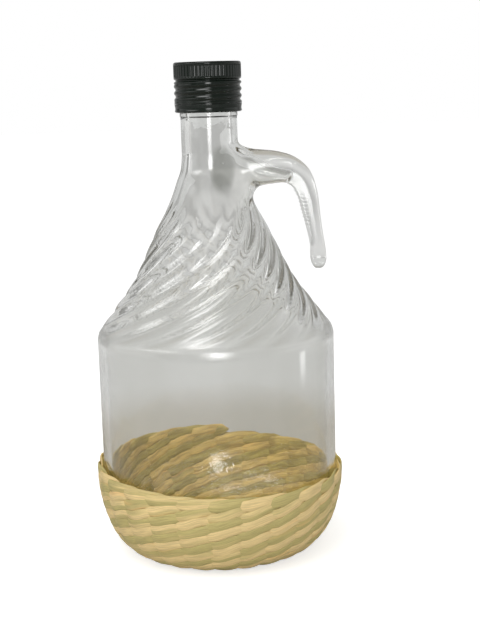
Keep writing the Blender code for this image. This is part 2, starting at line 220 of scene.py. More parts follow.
def joinRings(mesh, lower, upper):
    count = len(lower)
    for number in range(count):
        following = (number + 1) % count
        mesh.faces.new((lower[number], lower[following], upper[following], upper[number]))


# Joins the ring to a new one at these points, and gives the new one
def addRing(mesh, ring, points):
    following = [mesh.verts.new(point) for point in points]
    joinRings(mesh, ring, following)
    return following


def closeRing(mesh, ring, centre):
    tip = mesh.verts.new(centre)
    for number in range(len(ring)):
        mesh.faces.new((ring[number], ring[(number + 1) % len(ring)], tip))


# Rings of vertices round the upright axis, one for each row's radius and height
def turnedGrid(mesh, rows, columns, radiusAt=None):
    grid = []
    for far, height in rows:
        ring = []
        for column in range(columns):
            angle = math.tau * column / columns
            reach = radiusAt(angle, far, height) if radiusAt else far
            ring.append(mesh.verts.new((reach * math.cos(angle), reach * math.sin(angle), height)))
        grid.append(ring)
    return grid


# A turned body that is closed by a tip at each end, or without tips back to its first ring
def turnedBody(mesh, rows, columns, tips=(), radiusAt=None):
    grid = turnedGrid(mesh, rows, columns, radiusAt)
    for lower, upper in zip(grid, grid[1:] if tips else grid[1:] + grid[:1]):
        joinRings(mesh, lower, upper)
    for ring, height in zip((grid[0], grid[-1]), tips):
        closeRing(mesh, ring, (0.0, 0.0, height))
    bmesh.ops.recalc_face_normals(mesh, faces=mesh.faces)
    return grid


def rideAs(piece, body, slot, *nodes):
    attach(piece, body)
    if nodes:
        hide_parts(*nodes)


# Helpers for Geometry Nodes


# A tree with a geometry input, the named sizes, and one material
def newNodes(name, sizes):
    tree = bpy.data.node_groups.new(name, "GeometryNodeTree")
    tree.interface.new_socket("Geometry", in_out="OUTPUT", socket_type="NodeSocketGeometry")
    tree.interface.new_socket("Geometry", in_out="INPUT", socket_type="NodeSocketGeometry")
    for label, value in sizes.items():
        kind = "NodeSocketInt" if isinstance(value, int) else "NodeSocketFloat"
        tree.interface.new_socket(label, in_out="INPUT", socket_type=kind).default_value = value
    tree.interface.new_socket("Material", in_out="INPUT", socket_type="NodeSocketMaterial")
    sheet = Sheet(tree)
    source = tree.nodes.new("NodeGroupInput")
    inputs = {socket.name: Wire(sheet, socket) for socket in source.outputs if socket.name}
    return sheet, inputs


def endNodes(sheet, geometry, inputs):
    real = sheet.add("GeometryNodeRealizeInstances", {"Geometry": geometry})
    painted = sheet.add("GeometryNodeSetMaterial", {"Geometry": real, "Material": inputs["Material"]})
    sheet.end("NodeGroupOutput", painted)


# Runs a tree on the carrier and gives its result as a plain mesh object in the carrier's place
def bakeNodes(name, carrier, sheet, sizes, material):
    modifier = carrier.modifiers.new("nodes", "NODES")
    modifier.node_group = sheet.tree
    values = dict(sizes, Material=material)
    for item in sheet.tree.interface.items_tree:
        if item.item_type == "SOCKET" and item.in_out == "INPUT" and item.name in values:
            modifier[item.identifier] = values[item.name]
    graph = bpy.context.evaluated_depsgraph_get()
    mesh = bpy.data.meshes.new_from_object(
        carrier.evaluated_get(graph), preserve_all_data_layers=True, depsgraph=graph
    )
    carrier.modifiers.remove(modifier)
    bpy.data.objects.remove(carrier)
    mesh.name = name
    return addObject(name, mesh)


# Leaning waves round a turned shape: crests keep their place and the valleys go in
def waveNodes(name, sizes):
    sheet, given = newNodes(name, sizes)
    x, y, z = sheet.parts(sheet.add("GeometryNodeInputPosition"))
    angle = y.sum("ARCTAN2", x)
    turn, weight, loose = (
        sheet.add("GeometryNodeInputNamedAttribute", {"Name": label}, data_type="FLOAT")
        for label in ("waveTurn", "waveWeight", "looseWeight")
    )
    phase = (angle - given["Start Angle"] - turn) * given["Count"]
    valley = ((1 - sheet.cosine(phase)) * 0.5) ** given["Sharpness"]
    noise = sheet.noise(sheet.joined(x, y, z * given["Upright Stretch"]), given["Unevenness Scale"], 1.0, 0.4)
    away = valley * weight * given["Depth"] + (noise - 0.5) * loose * given["Unevenness"]
    far = (x * x + y * y).sum("POWER", 0.5).sum("MAXIMUM", 1e-5)
    offset = sheet.joined(-away * x / far, -away * y / far)
    moved = sheet.add("GeometryNodeSetPosition", {"Geometry": given["Geometry"], "Offset": offset})
    endNodes(sheet, moved, given)
    return sheet


# Materials


def newMaterial(name, values):
    material = bpy.data.materials.new(name)
    material.use_nodes = True
    material.node_tree.nodes.clear()
    sheet = Sheet(material.node_tree)
    shader = material.node_tree.nodes.new("ShaderNodeBsdfPrincipled")
    sheet.fill(shader, values)
    sheet.end("ShaderNodeOutputMaterial", Wire(sheet, shader.outputs[0]))
    return material, sheet, shader


glassFinish = {
    "pale": (0.968, 0.97, 0.962),
    "deep": (0.925, 0.928, 0.908),
    "thick": (0.76, 0.765, 0.745),  # painted shade at the arm's root, where the hollow root darkens the view through the glass
    "rootShadePlace": (0.0052, 0.1835),
    "rootShadeSize": (0.0062, 0.0125),
    "tintScale": 30.0,
    "tintStretch": (1.0, 1.0, 0.25),
    "waveScale": 55.0,
    "waveHeight": 0.00012,
    "rippleScale": 240.0,
    "rippleHeight": 0.000012,
    "roughness": (0.0, 0.025),
    "softPlace": 0.1075,  # the shoulder's bend, where the mould leaves the skin dull
    "softHalf": 0.006,
    "softness": 0.2,
    "index": 1.5,
    "passed": (0.975, 0.98, 0.975),
    "caught": (0.62, 0.62, 0.6),
    "mostBounces": 4.5,
    "heelTop": 0.045,
    "heelWaves": 2.5,
}


def clearGlass():
    finish = glassFinish
    material, sheet, shader = newMaterial("clear_glass", {"IOR": finish["index"], "Transmission Weight": 1.0})
    place = sheet.add("ShaderNodeTexCoord", out=3)
    x, _, z = sheet.parts(place)
    tint = sheet.noise(sheet.scaled(place, finish["tintStretch"]), finish["tintScale"])
    colour = sheet.blend(sheet.smooth(tint, 0.3, 0.7), finish["pale"], finish["deep"])
    # Painted shade: the glass tint turns darker in an oval round the arm's root
    (far, high), (wide, tall) = finish["rootShadePlace"], finish["rootShadeSize"]
    across = (x - far) / wide
    upward = (z - high) / tall
    thick = sheet.smooth(across * across + upward * upward, 1.0, 0.3)
    glass = sheet.blend(thick, colour, finish["thick"])
    low, high = finish["roughness"]
    off = (z - finish["softPlace"]).sum("ABSOLUTE")
    soft = sheet.smooth(off, finish["softHalf"], finish["softHalf"] / 3) * finish["softness"]
    dull = sheet.smooth(tint, 0.45, 0.8, low, high) + soft
    wave = sheet.noise(place, finish["waveScale"], 1.0)
    ripple = sheet.noise(place, finish["rippleScale"])
    heel = sheet.smooth(z, finish["heelTop"], finish["heelTop"] / 2)
    rough = 1 + heel * finish["heelWaves"]
    height = wave * finish["waveHeight"] * rough + ripple * finish["rippleHeight"] * rough**3.0
    sheet.fill(shader, {"Base Color": glass, "Roughness": dull, "Normal": sheet.bump(height)})
    letLightThrough(sheet, shader, finish)
    return material


# Lamp light and bounced light pass the glass straight, so that what stands behind it is lit,
# and light that is caught between the walls gets out, dimmed
def letLightThrough(sheet, shader, finish):
    lamp, bounced, depth = sheet.rays("Is Shadow Ray", "Is Diffuse Ray", "Ray Depth")
    clear = sheet.add("ShaderNodeBsdfTransparent", {"Color": (*finish["passed"], 1)})
    dim = sheet.add("ShaderNodeBsdfTransparent", {"Color": (*finish["caught"], 1)})
    caught = depth.sum("GREATER_THAN", finish["mostBounces"])
    seen = sheet.add("ShaderNodeMixShader", {0: caught, 1: Wire(sheet, shader.outputs[0]), 2: dim})
    mixed = sheet.add("ShaderNodeMixShader", {0: lamp.sum("MAXIMUM", bounced), 1: seen, 2: clear})
    sheet.plug(sheet.tree.nodes["Material Output"].inputs[0], mixed)


capFinish = {
    "colour": (0.0035, 0.0065, 0.0042),
    "worn": (0.03, 0.034, 0.03),
    "level": 0.25,
    "roughness": (0.05, 0.1),
    "topDull": 0.62,
    "topRim": (0.0004, 0.0001),  # under the top, from where it turns dull
    "wearScale": 420.0,
    "dustScale": 60.0,
    "dentHeight": 0.00002,
}


def blackLacquer():
    finish = capFinish
    material, sheet, shader = newMaterial("black_cap", {"Specular IOR Level": finish["level"]})
    place = sheet.add("ShaderNodeTexCoord", out=3)
    wear = sheet.noise(place, finish["wearScale"], 5.0)
    dust = sheet.noise(place, finish["dustScale"], 3.0)
    rubbed = sheet.smooth(wear, 0.62, 0.78) * sheet.smooth(dust, 0.45, 0.65)
    colour = sheet.blend(rubbed, finish["colour"], finish["worn"])
    low, high = finish["roughness"]
    start, end = finish["topRim"]
    onTop = sheet.smooth(sheet.parts(place)[2], capTop - start, capTop - end)
    dull = sheet.smooth(dust, 0.3, 0.75, low, high) + onTop * finish["topDull"]
    dents = sheet.bump(dust * finish["dentHeight"])
    sheet.fill(shader, {"Base Color": colour, "Roughness": dull, "Normal": dents})
    return material


linerFinish = {
    "colour": (0.8, 0.8, 0.77),
    # painted shade in the pits of the pores
    "shade": (0.7, 0.7, 0.66),
    "poreScale": 1500.0,
    "poreDepth": 0.00004,
}


def linerFoam():
    finish = linerFinish
    material, sheet, shader = newMaterial("liner_foam", {"Roughness": 0.65})
    place = sheet.add("ShaderNodeTexCoord", out=3)
    pores = sheet.add("ShaderNodeTexVoronoi", {"Vector": place, "Scale": finish["poreScale"]})
    # Painted shade: the foam is darker in the pits of its pores
    colour = sheet.blend(sheet.smooth(pores, 0.0, 0.5), finish["shade"], finish["colour"])
    sheet.fill(shader, {"Base Color": colour, "Normal": sheet.bump(pores * finish["poreDepth"])})
    return material


strawFinish = {
    "pale": (0.66, 0.50, 0.235),
    "olive": (0.43, 0.36, 0.14),
    "orange": (0.68, 0.40, 0.15),
    "stain": (0.30, 0.23, 0.085),
    "streakStretch": (3.2, 7.0, 1.0),
    "patchStretch": (0.6, 0.3, 1.0),
    "driftStretch": (0.35, 0.15, 1.0),
    "driftShare": 0.75,
    "fibreTones": (0.76, 1.14),  # darkest and lightest fibre as shares of the colour
    "orangeShare": 0.55,
    "stainShare": 0.4,
    "inside": ((0.78, 0.69, 0.42), (1.16, 1.07, 0.7)),  # darkest and lightest tone of the inner faces
    "fibreHeight": 0.00012,
    "roughness": (0.5, 0.75),
    "level": 0.35,
}


# Split straw: long fibres, a colour that drifts along the strand, and a few orange and dark stretches
def strawMaterial(name, colour, otherColour):
    finish = strawFinish
    material, sheet, shader = newMaterial(name, {"Specular IOR Level": finish["level"]})
    along = sheet.add("ShaderNodeUVMap", uv_map="strandUV")
    stretched = sheet.scaled(along, finish["streakStretch"])
    streak = sheet.noise(stretched, 1.0, 4.0, 0.6)
    fine = sheet.noise(stretched, 3.1, 5.0, 0.7)
    stretch = sheet.scaled(along, finish["patchStretch"])
    patch = sheet.noise(stretch, 1.0)
    spot = sheet.noise(stretch, 2.3, 3.0)
    turned = sheet.noise(sheet.scaled(along, finish["driftStretch"]), 1.0, 1.0)
    swap = sheet.smooth(turned, 0.52, 0.66) * finish["driftShare"]
    fibre = sheet.smooth(streak, 0.28, 0.72)
    darkest, lightest = finish["fibreTones"]
    own, other = (
        sheet.blend(
            fibre, tuple(part * darkest for part in tone), tuple(min(part * lightest, 1.0) for part in tone)
        )
        for tone in (colour, otherColour)
    )
    shade = sheet.blend(swap, own, other)
    warm = sheet.blend(sheet.smooth(patch, 0.58, 0.74) * finish["orangeShare"], shade, finish["orange"])
    stained = sheet.blend(sheet.smooth(spot, 0.62, 0.8) * finish["stainShare"], warm, finish["stain"])
    inward = sheet.smooth(sheet.cosine(sheet.parts(along)[1]), 0.2, -0.3)
    inside = sheet.blend(sheet.smooth(sheet.noise(stretch, 4.5), 0.36, 0.64), *finish["inside"])
    toned = sheet.scaled(stained, sheet.blend(inward, (1.0, 1.0, 1.0), inside))
    dull = sheet.smooth(fine, 0.3, 0.7, *finish["roughness"])
    fibres = sheet.bump((streak * 0.6 + fine * 0.4) * finish["fibreHeight"])
    sheet.fill(shader, {"Base Color": toned, "Roughness": dull, "Normal": fibres})
    return material


# Bottle

bottle = {
    "columns": 180,
    "bodyRadius": 0.0566,
    "bodyHeight": 0.1018,
    "footRadius": 0.038,
    "bearing": 0.004,
    "heelHeight": 0.036,
    "puntRise": 0.005,
    "wall": 0.0035,
    "base": 0.0055,
    "coneHeight": 0.0849,
    "neckRadius": 0.0132,
    "neckLength": 0.0178,
    "collarRadius": 0.0135,
    "collarHeight": 0.0034,
    "collarShares": (0.35, 0.7, 1.0),
    "beadRadius": 0.015,
    "beadHeight": 0.0022,
    "beadRows": 8,
    "beadSquare": 0.7,
    "beadEdge": 0.0003,
    "finishRadius": 0.0139,
    "lipEdge": 0.0008,
    "lipRows": 3,
    "boreRadius": 0.0095,
    "ribRow": 0.0008,
    "neckRow": 0.0011,
    "bodyRow": 0.004,
    "innerRow": 0.0021,
    "threadRow": 0.00035,
    "bottomRows": 11,
    "heelRows": 22,
    "innerConeRows": 59,
    "leastRow": 0.00084,
    "neckWallShare": 1 / 1.3,  # of the cone's height, from where its wall is as thick as the neck's
    "ribLean": (2.6, 0.2),
    "ribEnd": 0.8,
    "ribFade": (0.015, 0.1, 0.5, 0.78),
    "innerRibs": 0.85,
    "heelUnevenness": 1.6,
    "threadPitch": 0.003175,
    "threadDepth": 0.001,
    "threadStart": 0.0125,
    "threadFoot": 0.0006,
    "threadTurns": 2.6,
    "threadRunout": 0.25,
    "threadHalf": 1 / 2.4,
}
ribWaves = {
    "Count": 18,
    "Depth": 0.0012,
    "Sharpness": 1.5,
    "Start Angle": math.radians(18),
    "Unevenness": 0.00035,
    "Unevenness Scale": 50.0,
    "Upright Stretch": 0.3,
}
coneTable = [
    (0.0, 1.0),
    (0.038, 0.977),
    (0.104, 0.879),
    (0.196, 0.746),
    (0.276, 0.627),
    (0.367, 0.522),
    (0.469, 0.426),
    (0.589, 0.314),
    (0.698, 0.2),
    (0.77, 0.131),
    (0.867, 0.06),
    (0.925, 0.018),
    (1.0, 0.0),
]
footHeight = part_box("glass_bottle")[0].z
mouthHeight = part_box("glass_bottle")[1].z
shoulderHeight = footHeight + bottle["bodyHeight"]
heelTop = footHeight + bottle["heelHeight"]
coneTop = shoulderHeight + bottle["coneHeight"]
collarFoot = coneTop + bottle["neckLength"]
beadFoot = collarFoot + bottle["collarHeight"]
beadTop = beadFoot + bottle["beadHeight"]


def coneRadius(share):
    step = bottle["bodyRadius"] - bottle["neckRadius"]
    return bottle["neckRadius"] + step * readTable(coneTable, share)[0]


# The ribs' depth as a share: it comes in above the shoulder and fades out below the neck
def ribFade(share):
    start, full, stillFull, end = bottle["ribFade"]
    return easeShare(share, start, full) * easeShare(share, end, stillFull)


# How far a rib has run round the cone at this share of the cone's height
def ribTurn(share, steps=60):
    bottom, top = bottle["ribLean"]
    turn = 0.0
    share = min(max(share, 0.0), bottle["ribEnd"])
    for step in range(steps):
        middle = share * (step + 0.5) / steps
        lean = bottom + (top - bottom) * middle / bottle["ribEnd"]
        turn += lean * bottle["coneHeight"] * share / steps / coneRadius(middle)
    return turn


# Radius and height up the outside, from next to the bottom's middle to the lip
def outerRows():
    neck, collar, foot = bottle["neckRadius"], bottle["collarRadius"], bottle["footRadius"]
    edge = foot - bottle["bearing"]
    rows = []
    for far in evenSteps(edge / (bottle["bottomRows"] + 1), edge, edge / bottle["bottomRows"]):
        rows.append((far, footHeight + bottle["puntRise"] * math.cos(math.pi / 2 * far / edge)))
    rows.append(((edge + foot) / 2, footHeight))
    shares = evenSteps(0.0, 1.0, 1 / bottle["heelRows"])
    rows += quarter(foot, heelTop, bottle["bodyRadius"] - foot, -bottle["heelHeight"], shares)
    rows += wallRows(bottle["bodyRadius"], heelTop, shoulderHeight, bottle["bodyRow"])[:-1]
    for height in evenSteps(shoulderHeight, coneTop, bottle["ribRow"]):
        rows.append((coneRadius((height - shoulderHeight) / bottle["coneHeight"]), height))
    rows += wallRows(neck, coneTop, collarFoot, bottle["neckRow"])
    for share in bottle["collarShares"]:
        rows.append((neck + (collar - neck) * easeShare(share), collarFoot + bottle["lipEdge"] * share))
    rows.append((collar, beadFoot - bottle["beadEdge"]))
    half = bottle["beadHeight"] / 2
    for turn in evenSteps(-math.pi / 2, math.pi / 2, math.pi / bottle["beadRows"]):
        bulge = (bottle["beadRadius"] - collar) * max(math.cos(turn), 0.0) ** bottle["beadSquare"]
        rows.append((collar + bulge, beadFoot + half * (1 + math.sin(turn))))
    lip, mouth = bottle["lipEdge"], bottle["finishRadius"]
    rows += wallRows(mouth, beadTop, mouthHeight - lip, bottle["threadRow"])
    shares = evenSteps(1.0, 0.0, 1 / bottle["lipRows"])[1:]
    return rows + quarter(mouth - lip, mouthHeight - lip, lip, lip, shares)


# Radius and height down the inside, from the lip to next to the floor's middle
def innerRows():
    bore, lip, wall = bottle["boreRadius"], bottle["lipEdge"], bottle["wall"]
    rows = quarter(bore + lip, mouthHeight - lip, -lip, lip, evenSteps(0.0, 1.0, 1 / bottle["lipRows"]))
    rows += wallRows(bore, mouthHeight - lip, coneTop, bottle["innerRow"])
    count, step = bottle["innerConeRows"], 0.01
    for number in range(count - 1, -1, -1):
        share = (number + 0.5) / count
        thick = wall + (bottle["neckRadius"] - bore - wall) * easeShare(share, 0.0, bottle["neckWallShare"])
        above, below = coneRadius(min(share + step, 1.0)), coneRadius(max(share - step, 0.0))
        run, climb = below - above, bottle["coneHeight"] * 2 * step
        length = math.hypot(run, climb)
        height = shoulderHeight + bottle["coneHeight"] * share - thick * run / length
        if height < rows[-1][1] - bottle["leastRow"]:
            rows.append((max(coneRadius(share) - thick * climb / length, bore), height))
    side, foot = bottle["bodyRadius"] - wall, bottle["footRadius"]
    floor = footHeight + bottle["base"]
    rows += wallRows(side, rows[-1][1], heelTop, bottle["bodyRow"])
    shares = evenSteps(1.0, 0.0, 1 / bottle["heelRows"])[1:]
    rows += quarter(foot, heelTop, side - foot, floor - heelTop, shares)
    for far in evenSteps(foot, foot / (bottle["bottomRows"] + 1), foot / bottle["bottomRows"])[1:]:
        rows.append((far, floor + bottle["puntRise"] * math.cos(math.pi / 2 * far / foot)))
    return rows


# The one raised turn and more that the cap screws on
def threadHeight(angle, height):
    climbed = (height - mouthHeight + bottle["threadStart"]) / bottle["threadPitch"]
    nearest = round(climbed - angle / math.tau) + angle / math.tau
    last, runout = bottle["threadTurns"], bottle["threadRunout"]
    ends = easeShare(nearest, 0.0, runout) * easeShare(nearest, last, last - runout)
    return bottle["threadDepth"] * ends * easeShare(abs(climbed - nearest), bottle["threadHalf"], 0.0)


hook = {
    "patchTurn": 28,
    "patchFoot": 0.168,
    "patchTop": 0.1965,
    "reach": 0.0537,
    "height": 0.0582,
    "rise": 0.0035,
    "armHeight": 0.0161,
    "armDepth": 0.016,
    "flare": (1.9, 1.15),
    "section": 2.3,
    "legSection": 3.2,
    "legShares": (0.35, 0.6),
    "rootRings": 16,
    "rings": (30, 92, 12),
    "ridgeShares": (0.0, 0.44, 0.86, 1.0),
    "tipRings": 8,
    "tipLength": 0.0058,
    "tipSquare": 1.25,
    "ridges": 13,
    "ridgeTop": 0.1768,
    "ridgeFoot": 0.1535,
    "ridgeHeight": 0.0005,
    "ridgeReach": 0.42,
    "ridgeStart": 0.4,
    "ridgeFade": (0.125, 0.6),
    "rootEnd": 0.0225,
    "smoothEnd": 0.02475,
    "smoothRings": 3,
}
# Centre along the reach and up the height, then height and depth as shares of the arm's
hookTable = [
    (0.0, 0.44, 0.832, 1.06, 1.0),
    (0.13, 0.577, 0.83, 0.94, 0.95),
    (0.24, 0.69, 0.808, 0.82, 0.88),
    (0.34, 0.785, 0.742, 0.72, 0.82),
    (0.45, 0.845, 0.622, 0.6, 0.75),
    (0.56, 0.872, 0.495, 0.53, 0.7),
    (0.69, 0.898, 0.35, 0.47, 0.66),
    (0.82, 0.924, 0.21, 0.44, 0.63),
    (0.93, 0.93, 0.14, 0.47, 0.63),
    (1.0, 0.932, 0.095, 0.48, 0.63),
]
duct = {
    "patchTurn": 30,
    "patchFoot": 0.164,
    "patchTop": 0.1965,
    "flare": (1.5, 1.1),
    "section": 2.0,
    "rootRings": 14,
    "rings": 26,
    "tipRings": 7,
    "tipLength": 0.0026,
    "tipSquare": 1.0,
    "smoothing": 14,
}
# Place along X, height above the middle of the arm's root, half height, half depth
ductTable = [
    (0.0196, -0.0013, 0.0062, 0.006),
    (0.0228, -0.0018, 0.005, 0.0053),
    (0.0268, -0.0025, 0.0038, 0.0046),
    (0.0318, -0.003, 0.0028, 0.0041),
    (0.0362, -0.0035, 0.0024, 0.0037),
]


# The grid's vertices round a patch on +X, from the middle of its upper edge towards +Y,
# and the angle at which each would lie if the patch were square
def patchLoop(grid, low, high, half):
    top, foot = (high, low) if grid[high][0].co.z > grid[low][0].co.z else (low, high)
    step = 1 if foot > top else -1
    sides = list(range(top + step, foot, step))
    spots = [(top, column) for column in range(half + 1)]
    spots += [(row, half) for row in sides]
    spots += [(foot, column) for column in range(half, -half - 1, -1)]
    spots += [(row, -half) for row in reversed(sides)]
    spots += [(top, column) for column in range(-half, 0)]
    angles = [math.atan2(column / half, 1 - 2 * (row - top) / (foot - top)) for row, column in spots]
    return [grid[row][column] for row, column in spots], angles


def ovalPoint(centre, along, halfHeight, halfDepth, angle, power):
    across = Vector((-along.z, 0.0, along.x))
    up, side = math.cos(angle), math.sin(angle)
    up = math.copysign(abs(up) ** (2 / power), up)
    side = math.copysign(abs(side) ** (2 / power), side)
    return centre + across * (halfHeight * up) + Vector((0.0, halfDepth * side, 0.0))


# Bridges a hole's edge to an arm's first ring with a smooth fillet, and gives that ring
def growFrom(mesh, loop, normals, firstRing, along, facts):
    spread, pull = facts["flare"]
    ends = []
    for vertex, normal, end in zip(loop, normals, firstRing):
        start = vertex.co.copy()
        way = end - start
        surface = way - normal * way.dot(normal)
        ends.append((start, end, surface * spread, along * pull * abs(way.dot(along))))
    ring = loop
    for t in evenSteps(0.0, 1.0, 1 / facts["rootRings"])[1:]:
        points = []
        for start, end, startPull, endPull in ends:
            point = start * (2 * t**3 - 3 * t**2 + 1) + startPull * (t**3 - 2 * t**2 + t)
            point += end * (3 * t**2 - 2 * t**3) + endPull * (t**3 - t**2)
            points.append(point)
        ring = addRing(mesh, ring, points)
    return ring


# Rounds off an arm's end, from its last oval to a point
def growTip(mesh, ring, angles, place, facts, power):
    centre, along, halfHeight, halfDepth = place
    for number in range(1, facts["tipRings"]):
        turn = math.pi / 2 * number / facts["tipRings"]
        shrink = math.cos(turn) ** (1 / facts["tipSquare"])
        ahead = centre + along * (facts["tipLength"] * math.sin(turn))
        oval = (ahead, along, halfHeight * shrink, halfDepth * shrink)
        ring = addRing(mesh, ring, [ovalPoint(*oval, angle, power) for angle in angles])
    closeRing(mesh, ring, centre + along * facts["tipLength"])


# Centre, direction, half height and half depth of the hook at this share of its length
def hookPlace(share):

    def centreAt(place):
        reachShare, heightShare, _, _ = readTable(hookTable, place)
        lowest = coneTop + hook["rise"] - hook["height"]
        return Vector((hook["reach"] * reachShare, 0.0, lowest + hook["height"] * heightShare))

    _, _, thick, deep = readTable(hookTable, share)
    step = 0.004
    along = centreAt(min(share + step, 1.0)) - centreAt(max(share - step, 0.0))
    return centreAt(share), along.normalized(), hook["armHeight"] * thick / 2, hook["armDepth"] * deep / 2


# The arm is nearly round and the leg is squarer
def hookSection(share):
    return hook["section"] + (hook["legSection"] - hook["section"]) * easeShare(share, *hook["legShares"])


# A point of the hook's skin, with the finger ridges on its inner side
def hookPoint(share, angle):
    centre, along, halfHeight, halfDepth = hookPlace(share)
    point = ovalPoint(centre, along, halfHeight, halfDepth, angle, hookSection(share))
    inner = max(hook["ridgeReach"] - math.cos(angle), 0.0) / (1 + hook["ridgeReach"])
    top, foot = hook["ridgeTop"], hook["ridgeFoot"]
    place = (top - point.z) / (top - foot)
    if 0 < place < 1 and share > hook["ridgeStart"]:
        ridge = (1 - math.cos(math.tau * hook["ridges"] * place)) / 2
        full, stillFull = hook["ridgeFade"]
        fade = easeShare(place, 0.0, full) * easeShare(place, 1.0, stillFull)
        point += Vector((along.z, 0.0, -along.x)) * (hook["ridgeHeight"] * ridge * inner * fade)
    return point


def growHook(mesh, loop, angles, normals):
    def ringAt(share):
        return [hookPoint(share, angle) for angle in angles]

    ring = growFrom(mesh, loop, normals, ringAt(0.0), hookPlace(0.0)[1], hook)
    for start, end, count in zip(hook["ridgeShares"], hook["ridgeShares"][1:], hook["rings"]):
        for share in evenSteps(start, end, (end - start) / count)[1:]:
            ring = addRing(mesh, ring, ringAt(share))
    growTip(mesh, ring, angles, hookPlace(1.0), hook, hook["legSection"])


# The hollow that the neck blows into the root of the arm
def growDuct(mesh, loop, angles, normals):
    root, along = hookPlace(0.0)[0].z, Vector((1.0, 0.0, 0.0))

    def placeAt(far):
        drop, halfHeight, halfDepth = readTable(ductTable, far)
        return Vector((far, 0.0, root + drop)), along, halfHeight, halfDepth

    def ringAt(far):
        return [ovalPoint(*placeAt(far), angle, duct["section"]) for angle in angles]

    first, last = ductTable[0][0], ductTable[-1][0]
    ring = growFrom(mesh, loop, normals, ringAt(first), along, duct)
    for far in evenSteps(first, last, (last - first) / duct["rings"])[1:]:
        ring = addRing(mesh, ring, ringAt(far))
    growTip(mesh, ring, angles, placeAt(last), duct, duct["section"])


# Number of the row whose height is nearest
def rowNear(rows, height):
    return min(range(len(rows)), key=lambda row: abs(rows[row][1] - height))


# Outward directions of a turned surface at these vertices
def loopNormals(loop, rows, grid):
    slopes = {}
    for number, ring in enumerate(grid):
        before, after = rows[max(number - 1, 0)], rows[min(number + 1, len(rows) - 1)]
        run, climb = after[0] - before[0], after[1] - before[1]
        for vertex in ring:
            slopes[vertex] = math.atan2(-run * math.copysign(1, climb), abs(climb))
    normals = []
    for vertex in loop:
        turn, lean = math.atan2(vertex.co.y, vertex.co.x), slopes[vertex]
        normals.append(
            Vector((math.cos(turn) * math.cos(lean), math.sin(turn) * math.cos(lean), math.sin(lean)))
        )
    return normals


# Relaxes the fillet at the arm's root and the wall next to it
def smoothRoot(mesh, fillet):
    near = set(fillet)
    for _ in range(hook["smoothRings"]):
        near |= {edge.other_vert(vertex) for vertex in near for edge in vertex.link_edges}
    near = [vertex for vertex in near if vertex.co.x < hook["smoothEnd"]]
    for _ in range(duct["smoothing"]):
        bmesh.ops.smooth_vert(mesh, verts=near, factor=0.5, use_axis_x=True, use_axis_y=True, use_axis_z=True)


# What waveNodes reads at each vertex
def waveLayers(mesh):
    return [mesh.verts.layers.float.new(label) for label in ("waveTurn", "waveWeight", "looseWeight")]


# The thread stands out of the plain mouth above the bead
def outerRadius(angle, far, height):
    if beadTop + bottle["threadFoot"] < height < mouthHeight - bottle["lipEdge"]:
        return far + threadHeight(angle, height)
    return far


# The patch that the hook or its hollow grows from: the faces that it leaves out, and its edge
def cutPatch(rows, grid, facts):
    ends = sorted((rowNear(rows, facts["patchFoot"]), rowNear(rows, facts["patchTop"])))
    half = facts["patchTurn"]
    hole = {(row, column % len(grid[0])) for row in range(*ends) for column in range(-half, half)}
    loop, angles = patchLoop(grid, *ends, half)
    return hole, (loop, angles, loopNormals(loop, rows, grid))


def skinGrid(mesh, grid, hole):
    for row, (lower, upper) in enumerate(zip(grid, grid[1:])):
        for column in range(len(lower)):
            after = (column + 1) % len(lower)
            if (row, column) not in hole:
                mesh.faces.new((lower[column], lower[after], upper[after], upper[column]))


# How far the ribs have run at each vertex, and how much of them and of the unevenness it shows
def weighRows(layers, grid, rows, ribShare, loose):
    for ring, (far, height) in zip(grid, rows):
        coneShare = (height - shoulderHeight) / bottle["coneHeight"]
        soft = loose * easeShare(far, bottle["boreRadius"], bottle["boreRadius"] + bottle["wall"])
        if height < heelTop:
            soft *= 1 + bottle["heelUnevenness"] * easeShare(height, heelTop, footHeight)
        values = ribTurn(coneShare), ribFade(coneShare) * ribShare, soft
        for vertex in ring:
            for layer, value in zip(layers, values):
                vertex[layer] = value


def makeBottle(material):
    mesh = bmesh.new()
    layers = waveLayers(mesh)
    outside, inside = outerRows(), innerRows()
    outerGrid = turnedGrid(mesh, outside, bottle["columns"], outerRadius)
    innerGrid = turnedGrid(mesh, inside, bottle["columns"])
    grown = []
    walls = (outside, outerGrid, hook, growHook), (inside, innerGrid, duct, growDuct)
    for rows, grid, facts, grow in walls:
        hole, edge = cutPatch(rows, grid, facts)
        skinGrid(mesh, grid, hole)
        grown.append((grow, edge))
    joinRings(mesh, outerGrid[-1], innerGrid[0])
    closeRing(mesh, outerGrid[0], (0.0, 0.0, footHeight + bottle["puntRise"]))
    closeRing(mesh, innerGrid[-1], (0.0, 0.0, footHeight + bottle["base"] + bottle["puntRise"]))
    weighRows(layers, outerGrid, outside, 1.0, 0.0)
    weighRows(layers, innerGrid, inside, bottle["innerRibs"], 1.0)
    for grow, edge in grown:
        known = set(mesh.verts)
        grow(mesh, *edge)
        fillet = [vertex for vertex in mesh.verts if vertex not in known and vertex.co.x < hook["rootEnd"]]
        smoothRoot(mesh, fillet)
    alone = [vertex for vertex in mesh.verts if not vertex.link_faces]
    bmesh.ops.delete(mesh, geom=alone, context="VERTS")
    bmesh.ops.recalc_face_normals(mesh, faces=mesh.faces)
    carrier = pieceFrom("bottle_carrier", mesh)
    piece = bakeNodes("bottle_glass", carrier, waveNodes("bottleRibs", ribWaves), ribWaves, material)
    rideAs(piece, "bottle", "clear_glass", "glass_bottle")
    print("bottle:", len(piece.data.polygons), "faces")


# Cap

